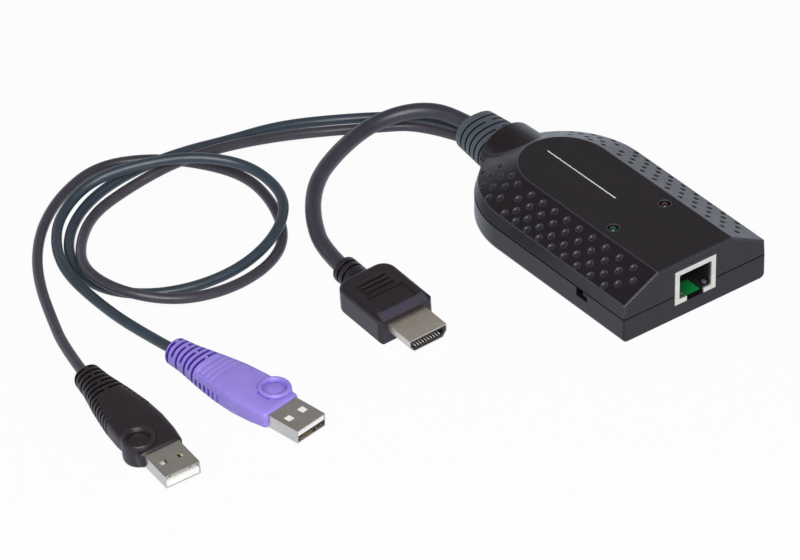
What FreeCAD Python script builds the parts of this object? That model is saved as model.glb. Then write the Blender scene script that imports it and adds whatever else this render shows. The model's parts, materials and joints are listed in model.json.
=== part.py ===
import FreeCAD, Part
import math
import os

V = FreeCAD.Vector
UP = V(0, 0, 1)
ELLIPSE = math.sqrt(0.5)   # fullness of a section's quarter: a true ellipse
FULL = 1.0                 # and a fuller one
ALONG = V(0, 1, 0)

# ---- driving sizes, mm ----------------------------------------------------
BODY_W_FRONT = 55.8        # across the walls at the network jack end
BODY_W_MID = 58.8          # across the walls where the rounded rear begins
SIDE_LEN = 62.3            # straight side, from the front face
REAR_DEPTH = 30.0          # rounded rear behind the straight side
PART_Z = 8.8               # height of the parting line
WALL_TOP = 14.1            # top of the side wall at the front
WALL_FALL = 0.027          # and its fall per millimetre to the rear
LEAN_FRONT = 0.3           # the wall leans in this much at its top
LEAN_MID = 1.9
PANEL_Z = 21.1             # top panel at the front edge
PANEL_FALL = 0.036
PANEL_HALF_W = 14.6
PANEL_PAST_SIDE = 0.7      # the panel's straight part runs on past the side's
PANEL_SETBACK = 12.8       # the panel's round is this much shallower than the rear's
WALL = 2.0                 # moulded wall thickness
BASE_ROUND = 1.8           # round along the lower sides and rear
FACE_ROUND = 0.6           # round of the front face's edges
GROOVE = 0.35              # shadow groove at the parting line
LIP_H = 0.9                # locating lip of the lower cover
FIT = 0.15                 # clearance between moulded parts

NECK_OUT = 2.0             # the cable neck stands out this far behind the rear
NECK_HALF_W = 10.7
NECK_Z = 7.4               # height of its widest line
NECK_UP = 9.4              # from there to its top
NECK_DOWN = 6.9            # and to its underside
NECK_FLARE = 0.9           # it grows this much towards the covers
NECK_LEN = 17.0
NECK_WALL = 1.1
NECK_MOUTH = 4.2           # depth of the narrow mouth at its rim
BOOT_LEN = 16.4            # strain relief boot, from the neck rim to its rear face
BOOT_HALF_W = 9.9          # at the neck rim
BOOT_HALF_H = 6.3
BOOT_Z = 6.6
BOOT_END_HALF_W = 7.8
BOOT_END_HALF_H = 6.0
BOOT_DROP = 0.4            # the rear face sits this much lower
BOOT_ROOT_SHRINK = 1.5     # the part inside the neck's mouth is this much slimmer
BOOT_ROOT_L = 7.0          # reach into the neck
BOOT_SLOTS = 5
BOOT_SLOT_PITCH = 2.7
BOOT_SLOT_W = 0.8
BOOT_SLOT_DEPTH = 1.3

JACK_W = 16.0              # front frame of the network jack
JACK_H = 12.5
JACK_PROUD = 0.2
JACK_BAND = 1.75
JACK_DEPTH = 15.5
JACK_SHEET = 0.3
JACK_NOTCH_W = 6.6

BOARD_T = 1.6
BOARD_TOP = 5.4            # component side of the circuit board
BOARD_CLEAR = 1.3          # from its edge to the wall
BOARD_PAST_SIDE = 18.5
BOARD_CORNER = 14.0
PILLAR_INSET = 3.8         # screw pillars, from the edge of the board
PILLAR_Y = 47.0
PILLAR_D = 5.6
POST_D = 4.0               # plain board posts
POST_INSET = 6.6
POST_FRONT_Y = 7.0
POST_REAR_INSET = 9.0
SCREW_D = 2.5
SCREW_HEAD_D = 4.8
CHIP_Y = 45.0
VIDEO_CHIP_X = 12.5
CRYSTAL_X = 13.0
REAR_ROW_Y = 58.0          # video chip and crystal
HEADER_SETBACK = 9.0       # wire headers, from the rear edge of the board
HEADER_X = 13.0
HEADER_L = 5.0
HEADER_WALL = 0.8
HEADER_HALF_W = 4.0
HEADER_H = 4.5
MID_HEADER_HALF_W = 6.5
MID_HEADER_H = 5.2
LEAD_D = 2.2               # inner ends of the data cords
VIDEO_LEAD_D = 3.0
LEAD_SPREAD = 4.6
LEAD_RUN = 5.0             # straight run at each end of a lead

LAMP_X = 10.2
LAMP_Y = 27.6
LAMP_D = 3.0
LAMP_HOLE_D = 3.8
LAMP_PROUD = 0.15
LAMP_L = 5.3
LAMP_LEG_X = 1.27
LAMP_LEG = 0.5

SWITCH_Y = 20.0            # centre of the slide switch slot
SWITCH_SLOT_L = 5.2
SWITCH_SLOT_H = 3.0
SWITCH_TRAVEL = 1.5
SWITCH_BODY_L = 9.0
SWITCH_BODY_H = 3.6
SWITCH_BODY_D = 3.4
SWITCH_GAP = 0.4           # between the switch and the wall

DIMPLE_D = 2.2
DIMPLE_DEPTH = 0.55
DIMPLE_ROWS = (0.215, 0.45, 0.69, 0.89)
DIMPLE_FIRST = 8.4
DIMPLE_PITCH = 7.0
DIMPLE_CLOSING = 0.09      # the pitch closes up towards the rear

THIN_D = 3.4               # data cords
THICK_D = 5.2              # video cord

DATA_GRIP_L = 47.0
DATA_GRIP_T = 8.3
DATA_TAIL_HALF_W = 4.2
DATA_HALF_W = 8.4          # at its broadest
DATA_SLOTS = 7
DATA_SLOT_PITCH = 2.15
DATA_RIDGES = 5
DATA_RING_R = 5.3
DATA_RING_X = 6.9          # its centre, from the front of the grip
DATA_RING_Y = 3.9
DATA_SLEEVE_W = 12.0
DATA_SLEEVE_H = 4.5
DATA_SLEEVE_L = 12.1       # shown in front of the grip
SLEEVE_SHEET = 0.3
SLEEVE_BURIED = 2.0
VIDEO_GRIP_L = 33.3
VIDEO_TAIL_L = 10.0
VIDEO_TAIL_R = 4.4
VIDEO_GRIP_HALF_W = 10.1
VIDEO_GRIP_T = 9.5
VIDEO_SLEEVE_W = 13.9
VIDEO_SLEEVE_H = 4.45
VIDEO_SLEEVE_L = 11.2

# Sizes that follow from the ones above.
NECK_END = SIDE_LEN + REAR_DEPTH + NECK_OUT
NECK_ROOT = NECK_END - NECK_LEN
BOOT_END = NECK_END + BOOT_LEN
PANEL_LEN = SIDE_LEN + PANEL_PAST_SIDE
PANEL_REAR = REAR_DEPTH - PANEL_SETBACK
BOARD_HALF_W = BODY_W_FRONT / 2 - WALL - BOARD_CLEAR
BOARD_LEN = SIDE_LEN + BOARD_PAST_SIDE
PILLAR_X = BOARD_HALF_W - PILLAR_INSET
HEADER_Y = BOARD_LEN - HEADER_SETBACK

# The adapter box is centred on the origin between the jack frame and the boot.
FRONT_Y = -(BOOT_END - JACK_PROUD) / 2
EXIT_Y = FRONT_Y + BOOT_END

# Routes of the three cords, from the boot's rear face (y = 0) to each plug tail.
VIDEO_ROUTE = [(-2.2, 0, 8.8), (-4.7, 7.5, 9.9), (-9.3, 14, 9.7), (-15.8, 18.6, 8.5),
               (-23.7, 20.7, 7.1), (-32, 20, 6.1), (-43.5, 15.3, 6.5), (-54.7, 9.1, 6.5),
               (-63.3, 0.8, 5.9), (-70.1, -9.4, 5.3), (-75, -20.7, 5), (-76.4, -33.1, 5.35)]
VIOLET_ROUTE = [(1.9, 0, 3), (-1.8, 16.5, 2.2), (-14.6, 27.5, 1.8), (-30.4, 37.3, 1.8),
                (-46.5, 43.1, 3.1), (-63.3, 45, 4.1), (-80.1, 46.3, 6.4), (-97.1, 48.8, 5.5),
                (-113.5, 48.2, 3), (-127.6, 40.9, 1.8), (-138, 27.6, 1.8), (-140.6, 10.9, 1.8),
                (-131, -3.4, 2.2), (-114.4, -10, 2.1), (-96.6, -11.2, 3.6), (-80.4, -6.1, 6.8),
                (-69.1, 7.1, 7.1), (-69.7, 24.4, 8.9), (-81.6, 36.1, 11.1), (-97.5, 43.4, 11.3),
                (-112.9, 50.9, 7.1), (-127.9, 46.7, 2.6), (-138.3, 34, 2.5),
                (-144.5, 18.4, 3.8), (-144.5, 1.5, 2.8), (-143.6, -15.7, 3.2),
                (-141.6, -32.5, 4.6)]
BLACK_ROUTE = [(-2.6, 0, 3), (-8.1, 16.1, 2.3), (-22.4, 25.6, 1.8), (-38, 33.8, 2.4),
               (-54.4, 38.5, 4.5), (-71.1, 40.8, 6.7), (-87.5, 42.2, 7.3), (-104.1, 43.1, 4.4),
               (-118.8, 40.9, 2.7), (-131.4, 30.2, 3.7), (-140.6, 15.7, 6),
               (-139.6, -0.7, 6.8), (-127.5, -13.5, 4.6), (-110.5, -17.5, 2.8),
               (-92.7, -15.4, 2.4), (-78.9, -6.3, 1.8), (-70.7, 10.6, 1.8), (-68.7, 27.8, 2.1),
               (-75.8, 43.1, 1.8), (-87.6, 55.4, 1.9), (-103.3, 61.5, 2.2), (-119.8, 56.6, 1.8),
               (-133.9, 47, 1.8), (-145.1, 34.5, 1.8), (-153.4, 20.2, 1.8), (-159.7, 4.9, 2),
               (-166, -10.7, 3.4), (-170, -27.1, 5.25)]
# How each plug lies: turn about the vertical, pitch and roll, degrees.
VIDEO_LIE = (-91.3, 0.0, 3.0)
VIOLET_LIE = (-80.0, 0.0, 0.0)
BLACK_LIE = (-95.0, 0.0, 4.0)


# ---- helpers ----------------------------------------------------------------
def box(x0, x1, y0, y1, z0, z1):
    return Part.makeBox(x1 - x0, y1 - y0, z1 - z0, V(x0, y0, z0))


def rod(r, start, end):
    return Part.makeCylinder(r, (end - start).Length, start, end - start)


def fused(shapes):
    return shapes[0].multiFuse(shapes[1:]).removeSplitter()


def quarter(a, b, c, weight=math.sqrt(0.5)):
    """Quarter of an ellipse from point a to point c, with b the corner of its box.

    A larger weight gives a fuller curve, nearer to a rounded rectangle.
    """
    curve = Part.BSplineCurve()
    curve.buildFromPolesMultsKnots([a, b, c], [3, 3], [0, 1], False, 2, [1, weight, 1])
    return curve.toShape()


def line(a, b):
    return Part.LineSegment(a, b).toShape()


def outline(front, half_front, half_mid, side_len, rear, z0, fall=0.0):
    """Straight front, slightly spreading sides and an elliptical rear, in a tilted plane."""
    mid = FRONT_Y + side_len

    def at(x, y):
        return V(x, y, z0 - fall * (y - FRONT_Y))
    y0 = FRONT_Y + front
    half_front = half_mid - (half_mid - half_front) * (side_len - front) / side_len
    end = mid + rear
    return Part.Wire([
        line(at(-half_front, y0), at(half_front, y0)),
        line(at(half_front, y0), at(half_mid, mid)),
        quarter(at(half_mid, mid), at(half_mid, end), at(0, end)),
        quarter(at(0, end), at(-half_mid, end), at(-half_mid, mid)),
        line(at(-half_mid, mid), at(-half_front, y0))])


def wall_outline(inset, z0, front=None):
    return outline(inset if front is None else front, BODY_W_FRONT / 2 - inset,
                   BODY_W_MID / 2 - inset, SIDE_LEN, REAR_DEPTH - inset, z0)


def crease_outline(inset, z0, front=None):
    """Line along which the side wall turns into the sloped flank."""
    return outline(inset if front is None else front, BODY_W_FRONT / 2 - LEAN_FRONT - inset,
                   BODY_W_MID / 2 - LEAN_MID - inset, SIDE_LEN, REAR_DEPTH - inset, z0, WALL_FALL)


def panel_outline(inset, z0, front=None):
    return outline(inset if front is None else front, PANEL_HALF_W - inset, PANEL_HALF_W - inset,
                   PANEL_LEN, PANEL_REAR - inset, z0, PANEL_FALL)


def side_half_w(y):
    """Half width of the covers at the parting line, at a distance y along the straight side."""
    return BODY_W_FRONT / 2 + (BODY_W_MID - BODY_W_FRONT) / 2 * y / SIDE_LEN


def prism(inset, z0, z1):
    return Part.Face(wall_outline(inset, z0)).extrude(V(0, 0, z1 - z0))


def oval(half_w, up, down, y, zc, full_up, full_down):
    """Closed section across Y: widest at zc, with its own height and fullness above and below."""
    a, b, c, d = V(half_w, y, zc), V(0, y, zc + up), V(-half_w, y, zc), V(0, y, zc - down)
    return Part.Wire([quarter(a, V(half_w, y, zc + up), b, full_up),
                      quarter(b, V(-half_w, y, zc + up), c, full_up),
                      quarter(c, V(-half_w, y, zc - down), d, full_down),
                      quarter(d, V(half_w, y, zc - down), a, full_down)])


def oval_loft(sections):
    return Part.makeLoft([oval(*s) for s in sections], True, True)


def edges_where(shape, test):
    return [e for e in shape.Edges if test(e)]


# ---- housing ------------------------------------------------------------------
def neck_solid(shrink, y0, y1):
    """Cable neck between two distances, flared towards the covers."""
    sections = []
    for y in (y0, y1):
        flare = NECK_FLARE * (NECK_END - y) / NECK_LEN
        sections.append((NECK_HALF_W + flare - shrink, NECK_UP + flare - shrink, NECK_DOWN - shrink,
                         FRONT_Y + y, NECK_Z, ELLIPSE, FULL))
    return oval_loft(sections)


def boot_root(y0, y1, spare):
    """Slim part of the boot that passes through the neck's mouth."""
    slim = BOOT_ROOT_SHRINK - spare
    return oval_loft([(BOOT_HALF_W - slim, BOOT_HALF_H - slim, BOOT_HALF_H - slim, FRONT_Y + y,
                       BOOT_Z + 0.3, FULL, FULL) for y in (y0, y1)])


def neck_bore():
    wide = neck_solid(NECK_WALL, NECK_ROOT, NECK_END - NECK_MOUTH)
    return wide.fuse(boot_root(NECK_END - NECK_MOUTH - 1, NECK_END + 1, FIT))


def upper_hull():
    """Upright wall, sloped flanks and the tilted top panel as one ruled solid."""
    ahead = -5
    hull = Part.makeLoft([wall_outline(0, PART_Z, ahead), crease_outline(0, WALL_TOP, ahead),
                          panel_outline(0, PANEL_Z, ahead)], True, True)
    return hull.cut(box(-50, 50, FRONT_Y + 2 * ahead, FRONT_Y, 0, 50))


def upper_hollow():
    slope_drop = 0.6 * WALL
    half = 0.28 * WALL
    return Part.makeLoft([wall_outline(WALL, PART_Z), crease_outline(WALL, WALL_TOP - slope_drop),
                          panel_outline(half, PANEL_Z - WALL, WALL)], True, True)


def flank_point(side, t, down, rear):
    """Point on a flank: t along the side (or round the rear quarter), down the slope 0..1."""
    mid = BODY_W_MID / 2 - LEAN_MID
    if rear:
        c, s = math.cos(t), math.sin(t)
        top = (PANEL_HALF_W * c, PANEL_LEN + PANEL_REAR * s)
        low = (mid * c, SIDE_LEN + REAR_DEPTH * s)
    else:
        front = BODY_W_FRONT / 2 - LEAN_FRONT
        top = (PANEL_HALF_W, PANEL_LEN * t)
        low = (front + (mid - front) * t, SIDE_LEN * t)
    a = V(side * top[0], FRONT_Y + top[1], PANEL_Z - PANEL_FALL * top[1])
    b = V(side * low[0], FRONT_Y + low[1], WALL_TOP - WALL_FALL * low[1])
    return a + (b - a) * down, (a - b).normalize()


def dimple_cutter(side, t, down, rear):
    """Ball that leaves a round shallow pit in the flank."""
    at, slope = flank_point(side, t, down, rear)
    ahead, _ = flank_point(side, t + 0.01, down, rear)
    normal = (ahead - at).cross(slope)
    if normal.z < 0:
        normal = normal * -1
    normal.normalize()
    radius = ((DIMPLE_D / 2) ** 2 + DIMPLE_DEPTH ** 2) / (2 * DIMPLE_DEPTH)
    return Part.makeSphere(radius, at + normal * (radius - DIMPLE_DEPTH))


def dimples():
    cutters = []
    for side in (-1, 1):
        for row, down in enumerate(DIMPLE_ROWS):
            k = 0.5 * (row % 2) - (1 if row == 1 else 0)
            while True:
                y = DIMPLE_FIRST + DIMPLE_PITCH * k - DIMPLE_CLOSING * k * k
                if y > SIDE_LEN + 1.5:
                    break
                if y > 4:
                    cutters.append(dimple_cutter(side, y / SIDE_LEN, down, False))
                k += 1
            for i in range(5):
                turn = math.radians(11 + 14.5 * (i + 0.5 * (row % 2)))
                x = flank_point(side, turn, down, True)[0].x
                if abs(x) > NECK_HALF_W + NECK_FLARE + DIMPLE_D:
                    cutters.append(dimple_cutter(side, turn, down, True))
    return cutters


def jack_window():
    half = JACK_W / 2 + 0.1
    z0 = BOARD_TOP - 0.1
    return box(-half, half, FRONT_Y - 1, FRONT_Y + WALL + 0.5, z0, z0 + JACK_H + 0.25)


def pillar_places():
    return [(side * PILLAR_X, FRONT_Y + PILLAR_Y) for side in (-1, 1)]


def rounded_face_edges(shape):
    return edges_where(shape, lambda e: abs(e.BoundBox.YMin - FRONT_Y) < 1e-4
                       and abs(e.BoundBox.YMax - FRONT_Y) < 1e-4
                       and e.BoundBox.ZLength + e.BoundBox.XLength > 1
                       and not (abs(e.BoundBox.ZMax - PART_Z) < 1e-4
                                and abs(e.BoundBox.ZMin - PART_Z) < 1e-4))


def top_cover():
    hull = upper_hull()
    hull = hull.makeFillet(FACE_ROUND, rounded_face_edges(hull))
    neck = neck_solid(0, NECK_ROOT, NECK_END)
    above = box(-50, 50, FRONT_Y - 5, FRONT_Y + NECK_END + 5, PART_Z, 60)
    outer = hull.fuse(neck.common(above))
    pillars = [rod(PILLAR_D / 2, V(x, y, BOARD_TOP), V(x, y, PANEL_Z - WALL))
               for x, y in pillar_places()]
    body = outer.cut(upper_hollow().fuse(neck_bore()))
    low = [box(x - PILLAR_D, x + PILLAR_D, y - PILLAR_D, y + PILLAR_D, BOARD_TOP, PART_Z + 1)
           for x, y in pillar_places()]
    keep = outer.multiFuse(low)
    body = body.multiFuse([p.common(keep) for p in pillars])
    groove = prism(-1, PART_Z - 0.5, PART_Z + GROOVE).cut(prism(GROOVE, PART_Z - 1, PART_Z + 1))
    rebate = prism(WALL / 2 - FIT, PART_Z - 0.5, PART_Z + LIP_H + FIT).cut(
        prism(WALL + 0.5, PART_Z - 1, PART_Z + 2))
    rebate = rebate.cut(neck_solid(-0.5, NECK_ROOT, NECK_END))
    top = panel_z_at(LAMP_Y)
    lamps = [rod(LAMP_HOLE_D / 2, V(s * LAMP_X, FRONT_Y + LAMP_Y, top - 2 * WALL),
                 V(s * LAMP_X, FRONT_Y + LAMP_Y, top + WALL)) for s in (-1, 1)]
    pilots = [rod(SCREW_D / 2 + 0.05, V(x, y, BOARD_TOP - 1), V(x, y, PART_Z + 2.6))
              for x, y in pillar_places()]
    return body.cut([groove, rebate, jack_window()] + lamps + pilots + dimples())


def switch_mid_z():
    return BOARD_TOP + SWITCH_BODY_H / 2


def bottom_cover():
    hull = prism(0, 0, PART_Z)
    under = edges_where(hull, lambda e: e.BoundBox.ZMax < 1e-4 and e.BoundBox.YLength > 1)
    hull = hull.makeFillet(BASE_ROUND, under)
    hull = hull.makeFillet(FACE_ROUND, rounded_face_edges(hull))
    below = box(-50, 50, FRONT_Y - 5, FRONT_Y + NECK_END + 5, -20, PART_Z)
    outer = hull.fuse(neck_solid(0, NECK_ROOT, NECK_END).common(below))
    lip = prism(WALL / 2, PART_Z - 1, PART_Z + LIP_H).cut(prism(WALL, PART_Z - 2, PART_Z + 2))
    lip = lip.cut(neck_solid(-0.5 - FIT, NECK_ROOT, NECK_END))
    hollow = prism(WALL, WALL, PART_Z + 0.01)
    side_round = edges_where(hollow, lambda e: e.BoundBox.ZMax < WALL + 1e-4
                             and e.BoundBox.YLength > 1)
    hollow = hollow.makeFillet(max(BASE_ROUND - WALL, 0.5), side_round)
    body = outer.cut(hollow.fuse(neck_bore())).fuse(lip)
    under_board = BOARD_TOP - BOARD_T
    post_x = BOARD_HALF_W - POST_INSET
    posts = [rod(POST_D / 2, V(s * post_x, FRONT_Y + y, WALL - 0.5), V(s * post_x, FRONT_Y + y, under_board))
             for s in (-1, 1) for y in (POST_FRONT_Y, BOARD_LEN - POST_REAR_INSET)]
    bosses = [rod(PILLAR_D / 2 + 0.8, V(x, y, WALL - 0.5), V(x, y, under_board))
              for x, y in pillar_places()]
    body = body.multiFuse(posts + bosses)
    cuts = [jack_window()]
    for x, y in pillar_places():
        cuts += [rod(SCREW_HEAD_D / 2 + 0.3, V(x, y, -1), V(x, y, 2.2)),
                 rod(SCREW_D / 2 + 0.2, V(x, y, 1), V(x, y, under_board + 1))]
    mid = switch_mid_z()
    half = side_half_w(SWITCH_Y)
    y = FRONT_Y + SWITCH_Y
    cuts.append(box(-half - 1, -half + 2 * WALL, y - SWITCH_SLOT_L / 2, y + SWITCH_SLOT_L / 2,
                    mid - SWITCH_SLOT_H / 2, mid + SWITCH_SLOT_H / 2))
    return body.cut(cuts).removeSplitter()


def housing_screws():
    screws = []
    for x, y in pillar_places():
        head = rod(SCREW_HEAD_D / 2, V(x, y, 0.7), V(x, y, 2.2))
        cross = fused([box(x - 1.3, x + 1.3, y - 0.25, y + 0.25, 0, 1.5),
                       box(x - 0.25, x + 0.25, y - 1.3, y + 1.3, 0, 1.5)])
        shank = rod(SCREW_D / 2, V(x, y, 2.2), V(x, y, PART_Z + 1.6))
        screws.append(head.fuse(shank).cut(cross).removeSplitter())
    return Part.makeCompound(screws)


# ---- board and what it carries ---------------------------------------------------
def circuit_board():
    y0 = FRONT_Y + WALL + FIT
    y1 = FRONT_Y + BOARD_LEN
    z0 = BOARD_TOP - BOARD_T
    plate = box(-BOARD_HALF_W, BOARD_HALF_W, y0, y1, z0, BOARD_TOP)
    rear = edges_where(plate, lambda e: e.BoundBox.ZLength > 1 and e.BoundBox.YMin > 0)
    plate = plate.makeFillet(BOARD_CORNER, rear)
    holes = [rod(SCREW_D / 2 + 0.2, V(x, y, z0 - 1), V(x, y, BOARD_TOP + 1))
             for x, y in pillar_places()]
    return plate.cut(holes)


def chip(x, y, half_x, half_y, height, pins):
    """Moulded package with a row of folded pins along two sides."""
    x0, y0 = x, FRONT_Y + y
    foot = 0.12
    body = box(x0 - half_x, x0 + half_x, y0 - half_y, y0 + half_y,
               BOARD_TOP + foot, BOARD_TOP + height)
    pitch = 2 * (half_y - 0.5) / (pins - 1)
    legs = []
    for side in (-1, 1):
        for i in range(pins):
            yy = y0 - half_y + 0.5 + pitch * i
            xs = sorted((x0 + side * (half_x - 0.2), x0 + side * (half_x + 0.9)))
            legs.append(box(xs[0], xs[1], yy - 0.15, yy + 0.15, BOARD_TOP, BOARD_TOP + 0.5))
    return fused([body] + legs)


def crystal():
    x, y = CRYSTAL_X, FRONT_Y + REAR_ROW_Y
    can = box(x - 2.3, x + 2.3, y - 5.6, y + 5.6, BOARD_TOP, BOARD_TOP + 3.5)
    upright = edges_where(can, lambda e: e.BoundBox.ZLength > 1)
    return can.makeFillet(2.2, upright)


def header_places():
    """Centre x, half width and height of each wire header, and its lead's diameter."""
    return [(-HEADER_X, HEADER_HALF_W, HEADER_H, LEAD_D),
            (0.0, MID_HEADER_HALF_W, MID_HEADER_H, VIDEO_LEAD_D),
            (HEADER_X, HEADER_HALF_W, HEADER_H, LEAD_D)]


def wire_headers():
    y = FRONT_Y + HEADER_Y
    w = HEADER_WALL
    blocks = []
    for x, half, high, _ in header_places():
        block = box(x - half, x + half, y - w, y + HEADER_L - w, BOARD_TOP, BOARD_TOP + high)
        mouth = box(x - half + w, x + half - w, y, y + HEADER_L, BOARD_TOP + w,
                    BOARD_TOP + high - w)
        blocks.append(block.cut(mouth))
    return Part.makeCompound(blocks)


def inner_leads():
    """Cord tails between the boot and the headers, each a tube along tangent runs."""
    y0 = FRONT_Y + HEADER_Y
    boot_y = FRONT_Y + NECK_END - BOOT_ROOT_L
    leads = []
    for (x, _, high, diameter), turn in zip(header_places(), (-1, 0, 1)):
        z = BOARD_TOP + high / 2
        end = V(turn * LEAD_SPREAD, boot_y, BOOT_Z + 1)
        points = [V(x, y0, z), V(x, y0 + HEADER_L, z), V(end.x, boot_y - LEAD_RUN, end.z), end]
        leads.append(tube(points, diameter))
    return Part.makeCompound(leads)


def jack_frame_z():
    return BOARD_TOP + 0.04, BOARD_TOP + 0.04 + JACK_H


def jack_shield():
    z0, z1 = jack_frame_z()
    half = JACK_W / 2
    y0 = FRONT_Y - JACK_PROUD
    y1 = FRONT_Y + 0.5
    plate = box(-half, half, y0, y1, z0, z1)
    plate = plate.cut(box(-half + JACK_BAND, half - JACK_BAND, y0 - 1, y1 + 1,
                          z0 + JACK_BAND, z1 - JACK_BAND))
    notch = box(-JACK_NOTCH_W / 2, JACK_NOTCH_W / 2, y0 - 1, y1 + 1, z0 - 1, z0 + JACK_BAND + 1)
    plate = plate.cut(notch)
    out, inn = half - 0.2, half - 0.2 - JACK_SHEET
    tub = box(-out, out, y1 - 0.2, FRONT_Y + JACK_DEPTH, z0, z1 - 0.2)
    tub = tub.cut(box(-inn, inn, y1 - 1, FRONT_Y + JACK_DEPTH - JACK_SHEET,
                      z0 - 1, z1 - 0.2 - JACK_SHEET))
    return fused([plate, tub])


def jack_insert():
    z0, z1 = jack_frame_z()
    out = JACK_W / 2 - 0.2 - JACK_SHEET - 0.1
    y0 = FRONT_Y + 0.6
    y1 = FRONT_Y + JACK_DEPTH - JACK_SHEET - 0.1
    top = z1 - 0.2 - JACK_SHEET - 0.1
    block = box(-out, out, y0, y1, z0, top)
    cavity = box(-5.95, 5.95, y0 - 1, y1 - 2.4, z0 + JACK_BAND + 0.1, z1 - 2.6)
    latch = box(-3.0, 3.0, y0 - 1, y1 - 6.0, z0 + 0.5, z0 + JACK_BAND + 0.6)
    window = box(-5.95, 3.6, y0 - 1, y0 + 7.5, z0 - 1, z0 + JACK_BAND + 1)
    comb = [box(x - 0.3, x + 0.3, y0 + 1.2, y1 - 2.5, z1 - 2.8, z1 - 2.1) for x in contact_xs()]
    return block.cut([cavity, latch, window] + comb)


def contact_xs():
    return [1.02 * (i - 3.5) for i in range(8)]


def jack_contacts():
    """Eight spring wires, folded at the front lip and sloping back down into the cavity."""
    z0, z1 = jack_frame_z()
    front = FRONT_Y + 2.6
    back = FRONT_Y + JACK_DEPTH - 3.0
    wires = []
    for x in contact_xs():
        upper = box(x - 0.17, x + 0.17, front, back, z1 - 2.6, z1 - 2.3)
        profile = Part.makePolygon([V(x - 0.17, front, z1 - 2.6), V(x - 0.17, front, z1 - 2.3),
                                    V(x - 0.17, back - 2, z1 - 5.6), V(x - 0.17, back - 2, z1 - 5.9),
                                    V(x - 0.17, front, z1 - 2.6)])
        sloped = Part.Face(profile).extrude(V(0.34, 0, 0))
        wires.append(upper.fuse(sloped).removeSplitter())
    return Part.makeCompound(wires)


def panel_z_at(y):
    return PANEL_Z - PANEL_FALL * y


def lamp(side):
    """Round-topped lamp with a rim at its foot, standing under its hole in the panel."""
    x, y = side * LAMP_X, FRONT_Y + LAMP_Y
    top = panel_z_at(LAMP_Y) + LAMP_PROUD
    r = LAMP_D / 2
    foot = top - LAMP_L
    body = rod(r, V(x, y, foot), V(x, y, top - r))
    dome = Part.makeSphere(r, V(x, y, top - r))
    rim = rod(r + 0.4, V(x, y, foot), V(x, y, foot + 1))
    return fused([body, dome, rim])


def lamp_leads():
    foot = panel_z_at(LAMP_Y) + LAMP_PROUD - LAMP_L
    half = LAMP_LEG / 2
    legs = []
    for side in (-1, 1):
        for dx in (-LAMP_LEG_X, LAMP_LEG_X):
            x, y = side * LAMP_X + dx, FRONT_Y + LAMP_Y
            legs.append(box(x - half, x + half, y - half, y + half, BOARD_TOP, foot))
    return Part.makeCompound(legs)


def switch_front_x():
    """Outer face of the switch, just inside the wall at its front end."""
    return -(side_half_w(SWITCH_Y - SWITCH_BODY_L / 2) - WALL) + SWITCH_GAP


def switch_body():
    x0 = switch_front_x()
    y = FRONT_Y + SWITCH_Y
    half = SWITCH_BODY_L / 2
    mid = switch_mid_z()
    body = box(x0, x0 + SWITCH_BODY_D, y - half, y + half, BOARD_TOP, BOARD_TOP + SWITCH_BODY_H)
    slot = box(x0 - 1, x0 + 1.4, y - SWITCH_SLOT_L / 2, y + SWITCH_SLOT_L / 2,
               mid - 1.1, mid + 1.1)
    return body.cut(slot)


def switch_knob():
    """Small ribbed knob, modelled at the jack end of its travel."""
    x0 = switch_front_x()
    y = FRONT_Y + SWITCH_Y - SWITCH_TRAVEL / 2
    mid = switch_mid_z()
    foot = box(x0 + 0.35, x0 + 1.1, y - 1.5, y + 1.5, mid - 0.8, mid + 0.8)
    stem = box(x0 - SWITCH_GAP - 0.7 * WALL, x0 + 0.5, y - 0.95, y + 0.95, mid - 0.8, mid + 0.8)
    return fused([foot, stem])


# ---- strain relief boot ------------------------------------------------------------
def boot_section(y, grow=0.0):
    """Section of the boot's outer body at a distance y."""
    t = (y - NECK_END) / BOOT_LEN
    half_h = BOOT_HALF_H + (BOOT_END_HALF_H - BOOT_HALF_H) * t + grow
    return (BOOT_HALF_W + (BOOT_END_HALF_W - BOOT_HALF_W) * t + grow, half_h, half_h,
            FRONT_Y + y, BOOT_Z - BOOT_DROP * t, FULL, FULL)


def strain_relief_boot():
    body = oval_loft([boot_section(NECK_END), boot_section(BOOT_END)])
    rear = edges_where(body, lambda e: e.BoundBox.YMin > EXIT_Y - 1e-3)
    body = body.makeFillet(0.9, rear)
    root = boot_root(NECK_END - BOOT_ROOT_L, NECK_END + 1, 0)
    flange = neck_solid(NECK_WALL + FIT, NECK_END - BOOT_ROOT_L, NECK_END - NECK_MOUTH - FIT)
    boot = fused([body, root, flange])
    cutters = []
    for i in range(BOOT_SLOTS):
        y = NECK_END + 1.6 + BOOT_SLOT_PITCH * i
        ring = oval_loft([boot_section(y, 1), boot_section(y + BOOT_SLOT_W, 1)]).cut(
            oval_loft([boot_section(y - 1, -BOOT_SLOT_DEPTH),
                       boot_section(y + BOOT_SLOT_W + 1, -BOOT_SLOT_DEPTH)]))
        y0, y1 = FRONT_Y + y - 1, FRONT_Y + y + BOOT_SLOT_W + 1
        webs = [box(-20, 20, y0, y1, BOOT_Z - 3.4, BOOT_Z - 1.8)]
        if i % 2:
            webs.append(box(-0.5, 2.3, y0, y1, -5, 30))
        cutters.append(ring.cut(webs))
    return boot.cut(cutters)


# ---- cords ---------------------------------------------------------------------------
def route_points(route):
    return [V(x, EXIT_Y + y, z) for x, y, z in route]


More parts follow.
